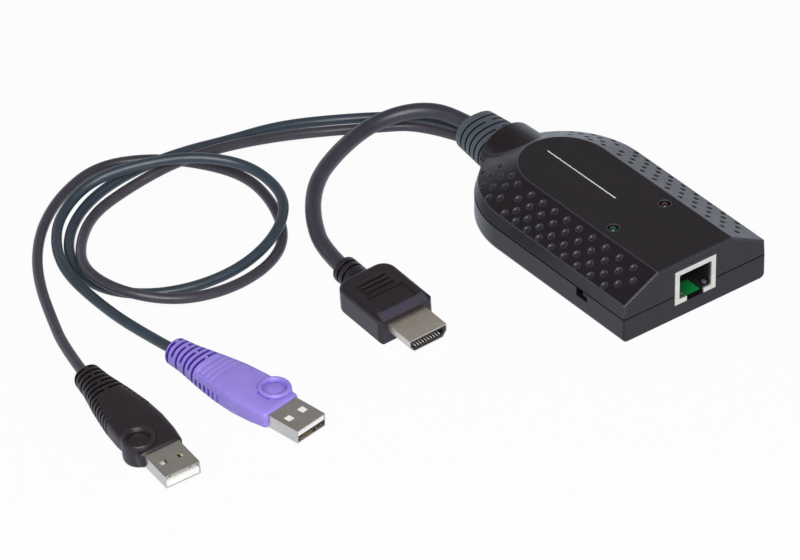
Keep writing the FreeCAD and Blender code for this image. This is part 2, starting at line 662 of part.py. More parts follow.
def cord_path(points):
    """Straight runs joined by tangent arcs, each as large as its two runs allow."""
    edges, radii = [], []
    last = points[0]
    for a, b, c in zip(points, points[1:], points[2:]):
        into, out = (b - a).normalize(), (c - b).normalize()
        turn = into.getAngle(out)
        tangent = 0.45 * min((b - a).Length, (c - b).Length)
        start, end = b - into * tangent, b + out * tangent
        radius = tangent / math.tan(turn / 2)
        inward = (out - into).normalize()
        middle = b + inward * (radius / math.cos(turn / 2) - radius)
        edges += [line(last, start), Part.Arc(start, middle, end).toShape()]
        radii.append(radius)
        last = end
    edges.append(line(last, points[-1]))
    return Part.Wire(edges), radii


def tube(points, diameter):
    path, radii = cord_path(points)
    into = (points[1] - points[0]).normalize()
    ring = Part.Wire([Part.Circle(points[0], into, diameter / 2).toShape()])
    solid = path.makePipeShell([ring], True, False)
    wanted = math.pi * diameter ** 2 / 4 * path.Length
    print("tube d %.1f length %.0f least radius %.1f volume ratio %.4f"
          % (diameter, path.Length, min(radii), solid.Volume / wanted))
    return solid


def cord(route, diameter, lie):
    """Tube that starts flat on the boot's rear face and ends flat on the plug's tail."""
    points = route_points(route)
    tail = points[-1]
    first = (points[0] - points[1]).normalize()
    last = (points[-1] - points[-2]).normalize()
    solid = tube([points[0] + first] + points[1:-1] + [points[-1] + last], diameter)
    behind = box(points[0].x - 6, points[0].x + 6, EXIT_Y - 3, EXIT_Y, -5, 20)
    ahead = lay(box(0, 3, -6, 6, -6, 6), tail, lie)
    return solid.cut([behind, ahead])


def lay(shape, tail, lie):
    """Put a plug modelled along +X from its tail end where its cord ends."""
    turned = shape.copy()
    rotation = (FreeCAD.Rotation(UP, lie[0]).multiply(FreeCAD.Rotation(ALONG, lie[1]))
                .multiply(FreeCAD.Rotation(V(1, 0, 0), lie[2])))
    turned.Placement = FreeCAD.Placement(tail, rotation)
    return turned


# ---- plugs, modelled along +X with the tail end at the origin ------------------------
def data_half_widths():
    """Distance from the tail and half width there: a slim tail swelling into a broad body."""
    swell = DATA_HALF_W - DATA_TAIL_HALF_W
    return [(DATA_GRIP_L * t, DATA_TAIL_HALF_W + swell * w) for t, w in
            ((0, 0), (0.17, 0.2), (0.36, 0.6), (0.55, 0.89), (0.72, 1), (0.87, 0.93), (1, 0.72))]


def data_half_at(x):
    spots = data_half_widths()
    for (x0, w0), (x1, w1) in zip(spots, spots[1:]):
        if x <= x1:
            return w0 + (w1 - w0) * (x - x0) / (x1 - x0)
    return spots[-1][1]


def data_slab():
    half = data_half_widths()
    left = Part.BSplineCurve()
    left.interpolate([V(x, y, 0) for x, y in half])
    right = Part.BSplineCurve()
    right.interpolate([V(x, -y, 0) for x, y in half])
    tail, nose = half[0][1], half[-1][1]
    ring = Part.Wire([line(V(0, -tail, 0), V(0, tail, 0)), left.toShape(),
                      line(V(DATA_GRIP_L, nose, 0), V(DATA_GRIP_L, -nose, 0)), right.toShape()])
    slab = Part.Face(ring).extrude(V(0, 0, DATA_GRIP_T))
    slab.translate(V(0, 0, -DATA_GRIP_T / 2))
    corners = edges_where(slab, lambda e: e.BoundBox.ZLength > 1 and e.BoundBox.XMax < 1)
    slab = slab.makeFillet(1.6, corners)
    rims = edges_where(slab, lambda e: e.BoundBox.ZLength < 1e-3
                       and e.BoundBox.XMin < DATA_GRIP_L - 1)
    return slab.makeFillet(2.2, rims)


def data_grip(flip):
    """Overmould with a round boss on one side, relief slots, ridges and side grooves."""
    half_t = DATA_GRIP_T / 2
    x, y, r = DATA_GRIP_L - DATA_RING_X, DATA_RING_Y * flip, DATA_RING_R
    boss = Part.makeCylinder(r, DATA_GRIP_T + 0.8, V(x, y, -half_t - 0.4))
    rims = edges_where(boss, lambda e: e.BoundBox.ZLength < 1e-3 and e.BoundBox.XLength > 5)
    boss = boss.makeFillet(0.6, rims)
    dishes = [Part.makeCylinder(r - 1.3, 1.2, V(x, y, z)) for z in (half_t - 0.15, -half_t - 1.05)]
    grip = fused([data_slab(), boss]).cut(dishes)
    pocket = box(DATA_GRIP_L - SLEEVE_BURIED, DATA_GRIP_L + 1, -DATA_SLEEVE_W / 2,
                 DATA_SLEEVE_W / 2, -DATA_SLEEVE_H / 2, DATA_SLEEVE_H / 2)
    cutters = [pocket]
    for i in range(DATA_SLOTS):
        x0 = 1.9 + DATA_SLOT_PITCH * i
        half = data_half_at(x0)
        ring = box(x0, x0 + 0.8, -12, 12, -8, 8)
        core = box(x0 - 1, x0 + 2, 1.1 - half, half - 1.1, 1.0 - half_t, half_t - 1.0)
        webs = [box(x0 - 1, x0 + 2, -12, 12, -0.9, 0.9)]
        if i % 2:
            webs.append(box(x0 - 1, x0 + 2, -half * 0.35, half * 0.35 + 1.2, -8, 8))
        cutters.append(ring.cut([core] + webs))
    first = 1.9 + DATA_SLOT_PITCH * DATA_SLOTS + 1.2
    for i in range(DATA_RIDGES):
        x0 = first + 2.3 * i
        reach = data_half_at(x0) - 2.4
        for z in (half_t - 0.3, -half_t - 0.7):
            cutters.append(box(x0, x0 + 0.7, -reach, reach, z, z + 1))
    for i in range(2 * DATA_RIDGES):
        x0 = first - 1.0 + 1.3 * i
        for side in (-1, 1):
            at = side * (data_half_at(x0 + 0.25) - 0.4)
            y0, y1 = sorted((at, at + 2 * side))
            cutters.append(box(x0, x0 + 0.55, y0, y1, 2.3 - half_t, half_t - 2.3))
    return grip.cut(cutters)


def data_sleeve():
    x0 = DATA_GRIP_L - SLEEVE_BURIED
    x1 = DATA_GRIP_L + DATA_SLEEVE_L
    w, h, t = DATA_SLEEVE_W / 2, DATA_SLEEVE_H / 2, SLEEVE_SHEET
    tubewall = box(x0, x1, -w, w, -h, h)
    tubewall = tubewall.cut(box(x0 + t, x1 + 1, -w + t, w - t, -h + t, h - t))
    holes = [box(x1 - 7.6, x1 - 5.2, s * 2.9 - 1.15, s * 2.9 + 1.15, -h - 1, h + 1)
             for s in (-1, 1)]
    return tubewall.cut(holes)


def data_tongue(up):
    x0 = DATA_GRIP_L - SLEEVE_BURIED + SLEEVE_SHEET + 0.1
    x1 = DATA_GRIP_L + DATA_SLEEVE_L - 0.25
    w = DATA_SLEEVE_W / 2 - SLEEVE_SHEET - 0.05
    h = DATA_SLEEVE_H / 2 - SLEEVE_SHEET - 0.02
    z0, z1 = (h - 1.9, h) if up > 0 else (-h, 1.9 - h)
    rear = box(x0, x0 + 2.5, -w, w, -h, h)
    return fused([box(x0, x1, -w, w, z0, z1), rear])


def data_contacts(up):
    h = DATA_SLEEVE_H / 2 - SLEEVE_SHEET - 0.02
    z = (h - 1.9) * up
    x1 = DATA_GRIP_L + DATA_SLEEVE_L
    strips = []
    for y, short in ((-3.5, 0), (-1.0, 1), (1.0, 1), (3.5, 0)):
        zs = sorted((z, z - 0.12 * up))
        strips.append(box(x1 - 9.0, x1 - 1.6 - short, y - 0.5, y + 0.5, zs[0], zs[1]))
    return Part.makeCompound(strips)


def video_section(x0, x1, inset):
    """D-shaped prism: full width above, lower corners cut off."""
    w, h = VIDEO_SLEEVE_W / 2 - inset, VIDEO_SLEEVE_H / 2 - inset
    cut = 1.5 - 0.4 * inset
    pts = [(-w, h), (w, h), (w, -h + cut + 0.4), (w - cut, -h), (-w + cut, -h), (-w, -h + cut + 0.4)]
    ring = Part.makePolygon([V(x0, y, z) for y, z in pts + pts[:1]])
    return Part.Face(ring).extrude(V(x1 - x0, 0, 0))


def video_grip():
    half_t = VIDEO_GRIP_T / 2
    body = box(VIDEO_TAIL_L - 1, VIDEO_GRIP_L, -VIDEO_GRIP_HALF_W, VIDEO_GRIP_HALF_W,
               -half_t, half_t)
    shoulders = edges_where(body, lambda e: e.BoundBox.ZLength > 1 and e.BoundBox.XMax < 15)
    body = body.makeFillet(4.8, shoulders)
    front = edges_where(body, lambda e: e.BoundBox.ZLength > 1
                        and e.BoundBox.XMin > VIDEO_GRIP_L - 1)
    body = body.makeChamfer(1.1, front)
    rims = edges_where(body, lambda e: e.BoundBox.ZLength < 1e-3
                       and e.BoundBox.XMin < VIDEO_GRIP_L - 2)
    body = body.makeFillet(1.5, rims)
    band = Part.makePolygon([V(VIDEO_GRIP_L - 2.4, -20, half_t + 0.01),
                             V(VIDEO_GRIP_L + 1, -20, half_t + 0.01),
                             V(VIDEO_GRIP_L + 1, -20, half_t - 1.9),
                             V(VIDEO_GRIP_L - 2.4, -20, half_t + 0.01)])
    tail = rod(VIDEO_TAIL_R, V(0, 0, 0), V(VIDEO_TAIL_L + 3, 0, 0))
    rim = edges_where(tail, lambda e: e.BoundBox.XMax < 0.01)
    tail = tail.makeFillet(0.8, rim)
    grip = fused([body.cut(Part.Face(band).extrude(V(0, 40, 0))), tail])
    cutters = [video_section(VIDEO_GRIP_L - SLEEVE_BURIED, VIDEO_GRIP_L + 1, 0)]
    for x in (2.4, 5.0):
        cutters.append(rod(VIDEO_TAIL_R + 1, V(x, 0, 0), V(x + 0.9, 0, 0)).cut(
            rod(VIDEO_TAIL_R - 0.9, V(x - 1, 0, 0), V(x + 2, 0, 0))))
    cutters.append(box(VIDEO_GRIP_L - 11.4, VIDEO_GRIP_L - 3.4, -6.8, 6.8, half_t - 0.3, half_t + 1))
    bars = [box(VIDEO_GRIP_L - 18.8 + 2.1 * i, VIDEO_GRIP_L - 17.8 + 2.1 * i, -5.2, 5.2,
                half_t - 0.5, half_t + 0.45) for i in range(3)]
    return fused([grip] + bars).cut(cutters)


def video_sleeve():
    x0, x1 = VIDEO_GRIP_L - SLEEVE_BURIED, VIDEO_GRIP_L + VIDEO_SLEEVE_L
    return video_section(x0, x1, 0).cut(video_section(x0 + SLEEVE_SHEET, x1 + 1, SLEEVE_SHEET))


def video_insert():
    x0 = VIDEO_GRIP_L - SLEEVE_BURIED + SLEEVE_SHEET + 0.05
    x1 = VIDEO_GRIP_L + VIDEO_SLEEVE_L - 0.3
    block = video_section(x0, x1, SLEEVE_SHEET + 0.05)
    return block.cut(box(x1 - 7.5, x1 + 1, -5.6, 5.6, -0.75, 0.95))


def video_contacts():
    x1 = VIDEO_GRIP_L + VIDEO_SLEEVE_L - 0.3
    return Part.makeCompound([box(x1 - 7.5, x1 - 0.6, y - 0.22, y + 0.22, -0.75, -0.45)
                              for y in [1.1 * (i - 4.5) for i in range(10)]])


def plug_nodes():
    """Every plug piece, laid where its cord ends."""
    video = route_points(VIDEO_ROUTE)[-1]
    violet = route_points(VIOLET_ROUTE)[-1]
    black = route_points(BLACK_ROUTE)[-1]
    return {
        "video_plug_grip": lay(video_grip(), video, VIDEO_LIE),
        "video_plug_sleeve": lay(video_sleeve(), video, VIDEO_LIE),
        "video_plug_insert": lay(video_insert(), video, VIDEO_LIE),
        "video_plug_contacts": lay(video_contacts(), video, VIDEO_LIE),
        "violet_plug_grip": lay(data_grip(1), violet, VIOLET_LIE),
        "violet_plug_sleeve": lay(data_sleeve(), violet, VIOLET_LIE),
        "violet_plug_tongue": lay(data_tongue(1), violet, VIOLET_LIE),
        "violet_plug_contacts": lay(data_contacts(1), violet, VIOLET_LIE),
        "black_plug_grip": lay(data_grip(-1), black, BLACK_LIE),
        "black_plug_sleeve": lay(data_sleeve(), black, BLACK_LIE),
        "black_plug_tongue": lay(data_tongue(-1), black, BLACK_LIE),
        "black_plug_contacts": lay(data_contacts(-1), black, BLACK_LIE)}


def all_nodes():
    nodes = {
        "top_cover": top_cover(),
        "bottom_cover": bottom_cover(),
        "housing_screws": housing_screws(),
        "circuit_board": circuit_board(),
        "main_chip": chip(0, CHIP_Y, 7.0, 7.0, 1.5, 14),
        "video_chip": chip(-VIDEO_CHIP_X, REAR_ROW_Y, 4.5, 4.5, 1.2, 10),
        "network_transformer": chip(0, 23.5, 3.6, 6.4, 4.5, 8),
        "crystal": crystal(),
        "wire_headers": wire_headers(),
        "inner_leads": inner_leads(),
        "jack_shield": jack_shield(),
        "jack_insert": jack_insert(),
        "jack_contacts": jack_contacts(),
        "link_lamp": lamp(-1),
        "power_lamp": lamp(1),
        "lamp_leads": lamp_leads(),
        "switch_body": switch_body(),
        "switch_knob": switch_knob(),
        "strain_relief_boot": strain_relief_boot(),
        "video_cord": cord(VIDEO_ROUTE, THICK_D, VIDEO_LIE),
        "violet_plug_cord": cord(VIOLET_ROUTE, THIN_D, VIOLET_LIE),
        "black_plug_cord": cord(BLACK_ROUTE, THIN_D, BLACK_LIE)}
    nodes.update(plug_nodes())
    return nodes


os.makedirs("parts", exist_ok=True)
for name, shape in all_nodes().items():
    if not shape.isValid():
        print("NOT VALID", name)
    shape.exportStep("parts/%s.step" % name)
    b = shape.BoundBox
    print("%-22s solids %d vol %9.1f  x %.1f %.1f  y %.1f %.1f  z %.2f %.2f" % (
        name, len(shape.Solids), shape.Volume, b.XMin, b.XMax, b.YMin, b.YMax, b.ZMin, b.ZMax))
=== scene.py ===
import json
import math
import bmesh
import bpy
from mathutils import Matrix, Vector
from mathutils.bvhtree import BVHTree


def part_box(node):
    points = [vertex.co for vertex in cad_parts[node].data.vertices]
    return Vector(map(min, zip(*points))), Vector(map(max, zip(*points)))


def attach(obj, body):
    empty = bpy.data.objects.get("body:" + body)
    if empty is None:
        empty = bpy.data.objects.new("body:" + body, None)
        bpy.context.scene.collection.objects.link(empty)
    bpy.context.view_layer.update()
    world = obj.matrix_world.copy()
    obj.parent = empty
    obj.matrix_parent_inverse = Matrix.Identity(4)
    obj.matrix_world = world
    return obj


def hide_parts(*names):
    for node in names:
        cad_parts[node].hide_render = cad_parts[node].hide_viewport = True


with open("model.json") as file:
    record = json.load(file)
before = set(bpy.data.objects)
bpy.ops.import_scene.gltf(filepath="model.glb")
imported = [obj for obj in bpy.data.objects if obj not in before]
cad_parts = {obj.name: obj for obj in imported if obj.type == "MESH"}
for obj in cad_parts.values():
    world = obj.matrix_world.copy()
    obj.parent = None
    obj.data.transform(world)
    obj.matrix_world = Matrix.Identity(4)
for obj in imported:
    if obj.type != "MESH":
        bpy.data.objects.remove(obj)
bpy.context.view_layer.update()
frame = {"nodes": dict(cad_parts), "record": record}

# Looks of a keyboard, video and mouse switch adapter with three cords, over its CAD frame.
nodes = frame["nodes"]
MM = 0.001
LIP_H = 0.9 * MM                 # the lower cover's locating lip
SEAM_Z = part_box("bottom_cover")[1][2] - LIP_H   # the covers meet below it
SEAM_W = 0.48 * MM               # width of the gap between them, drawn as a band of painted shade
EDGE_HIGHLIGHT_REACH = 0.012               # how far a normal leans on a corner that gets the painted highlight
CREVICE_SHADE_REACH = 1.6 * MM         # walls nearer than this paint shade into a slot's tone
ROLLING_MM = (0.06, 2.5, 2.5)    # pitch of the rolling lines across, and their length along


# ---- colour and material helpers --------------------------------------------
def srgb(code):
    """Hex colour as displayed -> linear RGBA."""
    parts = [int(code[i:i + 2], 16) / 255 for i in (1, 3, 5)]
    return [c / 12.92 if c <= 0.04045 else ((c + 0.055) / 1.055) ** 2.4 for c in parts] + [1.0]


def add(tree, kind, inputs=None, stops=(), **settings):
    """One shader node with its settings and ramp stops, and its inputs set or linked."""
    node = tree.nodes.new(kind)
    for key, value in settings.items():
        setattr(node, key, value)
    for key, value in (inputs or {}).items():
        if isinstance(value, bpy.types.NodeSocket):
            tree.links.new(value, node.inputs[key])
        else:
            node.inputs[key].default_value = value
    if stops:
        elements = node.color_ramp.elements
        while len(elements) < len(stops):
            elements.new(0.5)
        for element, (position, colour) in zip(elements, stops):
            element.position = position
            element.color = colour
    return node


def grey(value):
    return [value, value, value, 1.0]


def new_material(name):
    material = bpy.data.materials.new(name)
    material.use_nodes = True
    tree = material.node_tree
    shader = tree.nodes["Principled BSDF"]
    where = add(tree, "ShaderNodeTexCoord").outputs["Object"]
    return material, tree, shader, where


def moulded(name, low, high, rough=(0.4, 0.5), grain_mm=0.3, grain=0.12, mottle_mm=9.0,
            specular=0.5, edge_mm=0.25, edge_highlight=None, crevice_shade=None):
    """Injection-moulded plastic: slow tone drift, fine spark-eroded grain, uneven gloss.

    A real eroded texture is about 0.05 mm; it is drawn at grain_mm, coarse enough to show.
    edge_mm is the radius that the mould leaves on hard corners.
    """
    material, tree, shader, where = new_material(name)
    drift = add(tree, "ShaderNodeTexNoise", {"Vector": where, "Scale": 1 / (mottle_mm * MM),
                                             "Detail": 2.0, "Roughness": 0.55})
    colour = add(tree, "ShaderNodeValToRGB", {"Fac": drift.outputs["Fac"]},
                 stops=[(0.3, srgb(low)), (0.7, srgb(high))]).outputs["Color"]
    gloss = add(tree, "ShaderNodeTexNoise", {"Vector": where, "Scale": 3 / (mottle_mm * MM),
                                             "Detail": 4.0, "Roughness": 0.55})
    spread = add(tree, "ShaderNodeValToRGB", {"Fac": gloss.outputs["Fac"]},
                 stops=[(0.3, grey(rough[0])), (0.7, grey(rough[1]))]).outputs["Color"]
    rounded = add(tree, "ShaderNodeBevel", {"Radius": edge_mm * MM}, samples=6).outputs["Normal"]
    if edge_highlight:
        # Painted highlight on the covers' corners, lighter where the rounded normal leans from
        # the true one.
        true = add(tree, "ShaderNodeNewGeometry").outputs["Normal"]
        lean = add(tree, "ShaderNodeVectorMath", {0: rounded, 1: true}, operation="DOT_PRODUCT")
        corner = add(tree, "ShaderNodeValToRGB", {"Fac": lean.outputs["Value"]},
                     stops=[(1 - EDGE_HIGHLIGHT_REACH, grey(1.0)), (1.0 - EDGE_HIGHLIGHT_REACH / 12, grey(0.0))])
        height = add(tree, "ShaderNodeSeparateXYZ", {"Vector": where}).outputs["Z"]
        clear = add(tree, "ShaderNodeMath", {0: height, 1: SEAM_Z + 1.0 * MM},
                    operation="GREATER_THAN").outputs[0]
        painted_highlight = add(tree, "ShaderNodeMath", {0: corner.outputs["Color"], 1: clear},
                   operation="MULTIPLY").outputs[0]
        colour = add(tree, "ShaderNodeMix", {0: painted_highlight, 6: colour, 7: srgb(edge_highlight)},
                     data_type="RGBA").outputs[2]
        # The parting line of the covers: painted shade of the gap between them, near black and
        # matt.
        seam_shade = add(tree, "ShaderNodeMath", {0: height, 1: SEAM_Z, 2: SEAM_W / 2},
                  operation="COMPARE").outputs[0]
        colour = add(tree, "ShaderNodeMix", {0: seam_shade, 6: colour, 7: srgb("#040304")},
                     data_type="RGBA").outputs[2]
        spread = add(tree, "ShaderNodeMix", {0: seam_shade, 6: spread, 7: grey(1.0)},
                     data_type="RGBA").outputs[2]
    if crevice_shade:
        # Painted shade: slots and grooves shut out the light, so their tone is painted deeper.
        open_sky = add(tree, "ShaderNodeAmbientOcclusion", {"Distance": CREVICE_SHADE_REACH}, samples=8,
                       only_local=True)
        painted_shade = add(tree, "ShaderNodeValToRGB", {"Fac": open_sky.outputs["AO"]},
                    stops=[(0.35, grey(1.0)), (0.9, grey(0.0))]).outputs["Color"]
        colour = add(tree, "ShaderNodeMix", {0: painted_shade, 6: colour, 7: srgb(crevice_shade)},
                     data_type="RGBA").outputs[2]
    tree.links.new(colour, shader.inputs["Base Color"])
    tree.links.new(spread, shader.inputs["Roughness"])
    texture = add(tree, "ShaderNodeTexNoise", {"Vector": where, "Scale": 1 / (grain_mm * MM),
                                               "Detail": 2.0, "Roughness": 0.6})
    bump = add(tree, "ShaderNodeBump",
               {"Height": texture.outputs["Fac"], "Strength": grain, "Distance": 0.03 * MM,
                "Normal": rounded})
    tree.links.new(bump.outputs["Normal"], shader.inputs["Normal"])
    shader.inputs["Specular IOR Level"].default_value = specular
    return material


def plated(name, low, high, rough=(0.2, 0.28), grain=0.06, edge_mm=0.08):
    """Plated sheet metal: rolling lines along one axis and a faint uneven bloom.

    Real rolling lines are about 0.01 mm apart; they are drawn 0.06 mm apart, to show.
    """
    material, tree, shader, where = new_material(name)
    stretch = add(tree, "ShaderNodeMapping",
                  {"Vector": where, "Scale": [1 / (pitch * MM) for pitch in ROLLING_MM]})
    lines = add(tree, "ShaderNodeTexNoise", {"Vector": stretch.outputs["Vector"], "Scale": 1.0,
                                             "Detail": 3.0})
    bloom = add(tree, "ShaderNodeTexNoise", {"Vector": where, "Scale": 1 / (5.0 * MM),
                                             "Detail": 2.0, "Roughness": 0.55})
    colour = add(tree, "ShaderNodeValToRGB", {"Fac": bloom.outputs["Fac"]},
                 stops=[(0.3, srgb(low)), (0.7, srgb(high))])
    tree.links.new(colour.outputs["Color"], shader.inputs["Base Color"])
    spread = add(tree, "ShaderNodeValToRGB", {"Fac": bloom.outputs["Fac"]},
                 stops=[(0.3, grey(rough[0])), (0.7, grey(rough[1]))])
    tree.links.new(spread.outputs["Color"], shader.inputs["Roughness"])
    rounded = add(tree, "ShaderNodeBevel", {"Radius": edge_mm * MM}, samples=6)
    bump = add(tree, "ShaderNodeBump",
               {"Height": lines.outputs["Fac"], "Strength": grain, "Distance": 0.01 * MM,
                "Normal": rounded.outputs["Normal"]})
    tree.links.new(bump.outputs["Normal"], shader.inputs["Normal"])
    shader.inputs["Metallic"].default_value = 1.0
    return material


def give(material, *names):
    """Give CAD nodes their finish."""
    for name in names:
        slots = nodes[name].data.materials
        slots.clear()
        slots.append(material)


# ---- camera -----------------------------------------------------------------
FRONT_Y = -0.05525               # outer face of the covers' front wall
SENSOR_MM = 36


def camera_at(azimuth, elevation, roll, focal, distance, shift):
    """Long-lens camera; angles in radians, shift moves the aim point across the view, metres."""
    back = Vector((math.sin(azimuth) * math.cos(elevation),
                   -math.cos(azimuth) * math.cos(elevation), math.sin(elevation)))
    right = Vector((math.cos(azimuth), math.sin(azimuth), 0))
    up = back.cross(right)
    right, up = (right * math.cos(roll) + up * math.sin(roll),
                 up * math.cos(roll) - right * math.sin(roll))
    place = Vector((0, FRONT_Y, 0)) + back * distance - right * shift[0] - up * shift[1]
    data = bpy.data.cameras.new("studio camera")
    data.lens = focal
    data.sensor_width = SENSOR_MM
    data.clip_end = 20
    camera = bpy.data.objects.new("studio camera", data)
    bpy.context.scene.collection.objects.link(camera)
    camera.matrix_world = Matrix(((right.x, up.x, back.x, place.x),
                                  (right.y, up.y, back.y, place.y),
                                  (right.z, up.z, back.z, place.z), (0, 0, 0, 1)))
    bpy.context.scene.camera = camera


AZIMUTH, ELEVATION, ROLL = -0.63971, 0.64213, -0.012587
FOCAL = 8.436125                 # focal length in frame widths
DISTANCE = 2.07124               # from the middle of the front wall
camera_at(AZIMUTH, ELEVATION, ROLL, FOCAL * SENSOR_MM, DISTANCE, (0.0903930, -0.0092960))

# ---- materials, each named for the real finish ------------------------------
# Spark-eroded ABS with a satin gloss: near black from above, grey where it grazes the light,
# with a painted highlight on its corners and painted shade in the parting line.
abs_cover = moulded("moulded ABS, satin black", "#140b11", "#180f15", (0.27, 0.34), edge_mm=0.5,
                    edge_highlight="#44474d", specular=0.4)
# Soft PVC of the boot: slate grey, duller than the cover, with painted shade in its grooves.
boot_pvc = moulded("moulded PVC, slate grey", "#454c55", "#4f5660", (0.42, 0.5), edge_mm=0.15,
                   crevice_shade="#14171c")
# Overmoulds of the data plugs: the slight sheen of a polished mould, painted shade in the slots.
violet_pvc = moulded("moulded PVC, violet", "#8c7ad0", "#9482d7", (0.38, 0.46), edge_mm=0.15,
                     crevice_shade="#3c1f98")
black_pvc = moulded("moulded PVC, black", "#1c1118", "#21161c", (0.36, 0.44), edge_mm=0.15,
                    crevice_shade="#060305")
# Overmould of the video plug: a touch glossier, so its flat faces catch soft light; painted shade
# deepens its grooves.
video_pvc = moulded("moulded PVC, soft black", "#190f16", "#1e141b", (0.34, 0.42),
                    edge_mm=0.25, crevice_shade="#060305")
# The video plug's front shoulder: polished, and painted lighter than the textured grip behind it,
# for the light its sloping face catches.
shoulder_painted_lighter = moulded("moulded PVC, polished, painted lighter", "#37343f", "#3d3a46", (0.25, 0.3),
                       edge_mm=0.1)
# Deep-drawn plug sleeves: bright nickel with faint rolling lines.
nickel = plated("nickel-plated steel", "#d0c9c0", "#d9d3cb", (0.24, 0.3))
# Video plug's sleeve: warmer and duller than the data plugs'.
satin_nickel = plated("satin nickel-plated steel", "#d9cfc0", "#e1d8ca", (0.36, 0.42))
# Stamped jack frame: dull tin plate, which looks ivory.
tinned = plated("tin-plated steel, dull", "#e4e1d2", "#ebe8db", (0.45, 0.55))
# Drawn contact wire: thin flashes of warm yellow deep in the mouths.
gold = plated("gold-plated spring wire", "#e0c078", "#ecd08c", (0.2, 0.28), edge_mm=0.04)
# Stamped contact strips: painted pale and bright, a painted reflection of the white round them,
# and less metallic so the dark mouth does not darken them.
gold_painted_pale = plated("gold-plated spring strip, painted pale", "#f6f0e0", "#fbf6ea", (0.4, 0.5), edge_mm=0.04)
gold_painted_pale.node_tree.nodes["Principled BSDF"].inputs["Metallic"].default_value = 0.35
# Connector bodies: matt black nylon that swallows light, so the mouths look deep.
nylon_black = moulded("glass-filled nylon, black", "#151216", "#1b171c", (0.4, 0.55),
                      edge_mm=0.1)
# Latch shoulders: the same nylon, painted lit grey where the light reaches in.
nylon_painted_lit = moulded("glass-filled nylon, painted lit grey", "#4a464e", "#55515a", (0.35, 0.45),
                     edge_mm=0.1)
# Plug tongues: milky white, the brightest thing in a plug's mouth.
nylon_white = moulded("moulded nylon, white", "#e6e6e3", "#efefec", (0.35, 0.45), edge_mm=0.1)
# Board headers: undyed nylon, a warm cream.
header_nylon = moulded("moulded nylon, natural", "#d8d3c2", "#e4dfd0", (0.4, 0.5), edge_mm=0.1)
# Green solder resist over woven glass epoxy: fairly glossy, lit through the jack's mouth.
board_epoxy = moulded("glass-epoxy board, green resist", "#0d6b30", "#168544", (0.2, 0.3),
                      edge_mm=0.05)
# Chip packages: dull black with a fine tooth.
chip_epoxy = moulded("moulded epoxy package", "#19191b", "#212123", (0.5, 0.6), edge_mm=0.1)
# Screws from below: dark, with a soft metal glint.
screw_zinc = plated("black zinc-plated steel", "#3a3a3c", "#46464a", (0.3, 0.4))
# Lamps: clear and glossy tinted epoxy, so they look dark, with their colour deep in the lens.
lamp_green = moulded("tinted epoxy, green", "#125e2b", "#1b7a3a", (0.05, 0.08), grain=0.02,
                     edge_mm=0.05)
lamp_red = moulded("tinted epoxy, red", "#4c2b25", "#6e4136", (0.05, 0.08), grain=0.02,
                   edge_mm=0.05)
for lens in (lamp_green, lamp_red):
    lens.node_tree.nodes["Principled BSDF"].inputs["Transmission Weight"].default_value = 0.7
# Cord jackets of extruded PVC: smooth, with a soft line of light along the top.
thick_jacket = moulded("extruded PVC, blue black", "#2d2b35", "#34323d", (0.32, 0.4),
                       0.4, 0.1, 6.0)
blue_jacket = moulded("extruded PVC, dark slate blue", "#28323c", "#2f3a45", (0.32, 0.4),
                      0.4, 0.1, 6.0)
plum_jacket = moulded("extruded PVC, dark plum grey", "#332e36", "#3b363f", (0.32, 0.4),
                      0.4, 0.1, 6.0)
lead_pvc = moulded("extruded PVC, black", "#18181a", "#202022", (0.4, 0.5))
# Pad-printed ink: matt, a little grey where the texture shows through.
ink = moulded("pad-printed ink, white", "#cfcfcf", "#e0e0e0", (0.5, 0.6), grain_mm=0.2,
              edge_mm=0.05)

give(abs_cover, "top_cover", "bottom_cover")
give(boot_pvc, "strain_relief_boot")
give(violet_pvc, "violet_plug_grip")
give(black_pvc, "black_plug_grip")
give(video_pvc, "video_plug_grip")
give(nickel, "violet_plug_sleeve", "black_plug_sleeve")
give(satin_nickel, "video_plug_sleeve")
give(tinned, "jack_shield", "crystal", "lamp_leads")
give(gold, "jack_contacts", "video_plug_contacts", "violet_plug_contacts",
     "black_plug_contacts")
give(nylon_black, "jack_insert", "video_plug_insert", "switch_body", "switch_knob")
give(nylon_white, "violet_plug_tongue", "black_plug_tongue")
give(header_nylon, "wire_headers")
give(board_epoxy, "circuit_board")
give(chip_epoxy, "main_chip", "video_chip", "network_transformer")
give(screw_zinc, "housing_screws")
give(lead_pvc, "inner_leads")
give(lamp_green, "link_lamp")
give(lamp_red, "power_lamp")


# ---- fine pieces ------------------------------------------------------------
def piece_from(name, mesh, finish):
    """Store a bmesh as a piece of the adapter with its finish."""
    bmesh.ops.recalc_face_normals(mesh, faces=mesh.faces)
    data = bpy.data.meshes.new(name)
    mesh.to_mesh(data)
    mesh.free()
    piece = bpy.data.objects.new(name, data)
    bpy.context.scene.collection.objects.link(piece)
    data.materials.append(finish)
    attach(piece, "adapter")
    return piece


def laid_on(name, node, place, x_span, y_span, steps, finish, thick_mm=0.03):
    """A thin patch of ink or moulding that follows a node's top; spans in mm in place's axes."""
    shape = nodes[node].data
    skin = BVHTree.FromPolygons([v.co for v in shape.vertices],
                                [p.vertices for p in shape.polygons])
    down = place.to_3x3() @ Vector((0, 0, -1))
    mesh = bmesh.new()
    bmesh.ops.create_grid(mesh, x_segments=steps[0], y_segments=steps[1], size=0.5)
    for vert in mesh.verts:
        x = x_span[0] + (x_span[1] - x_span[0]) * (vert.co.x + 0.5)
        y = y_span[0] + (y_span[1] - y_span[0]) * (vert.co.y + 0.5)
        hit = skin.ray_cast(place @ (Vector((x, y, 40)) * MM), down)[0]
        vert.co = hit - down * 0.01 * MM
    bmesh.ops.solidify(mesh, geom=mesh.faces[:], thickness=-thick_mm * MM)
    return piece_from(name, mesh, finish)


